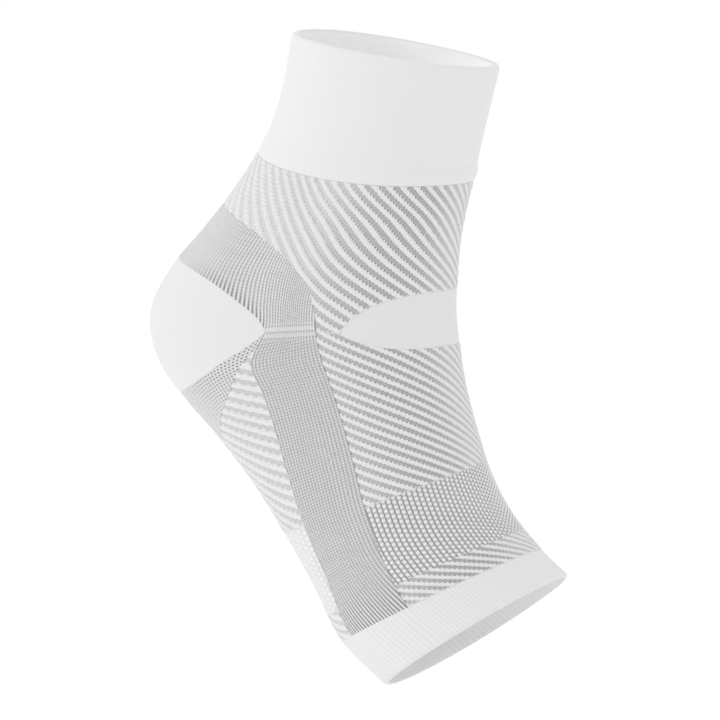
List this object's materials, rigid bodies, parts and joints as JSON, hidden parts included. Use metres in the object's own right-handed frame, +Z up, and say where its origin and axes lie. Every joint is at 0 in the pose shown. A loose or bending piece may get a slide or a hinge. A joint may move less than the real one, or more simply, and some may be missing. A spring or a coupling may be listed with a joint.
{
  "type": "arch support sleeve",
  "caption": "Knitted compression sleeve for ankle, heel and arch, open at leg and toes, with side strips, heel cup and cushioned ball panel.",
  "frame": {"origin": "centre of the ankle inside the sleeve, between the two ankle bones of the wearer", "axes": "+Z up the lower leg, +X forward towards the toes, +Y towards the wearer's left"},
  "size_m": [0.1591, 0.0852, 0.2412],
  "materials": {
    "white_knit": "matte",
    "grey_knit": "matte",
    "ribbed_knit": "matte",
    "cushion_knit": "matte"
  },
  "bodies": {
    "root": {"ankle_cuff": "white_knit", "ankle_ribs": "ribbed_knit", "instep_panel": "white_knit", "instep_ribs": "ribbed_knit", "metatarsal_panel": "cushion_knit", "toe_ribs": "ribbed_knit", "heel_sling": "grey_knit", "heel_cup": "white_knit", "arch_gusset": "grey_knit", "sole_ribs": "ribbed_knit", "ball_panel": "cushion_knit", "ball_ribs": "ribbed_knit", "side_strip_left": "grey_knit", "side_strip_right": "grey_knit", "toe_band": "white_knit"}
  },
  "joints": []
}
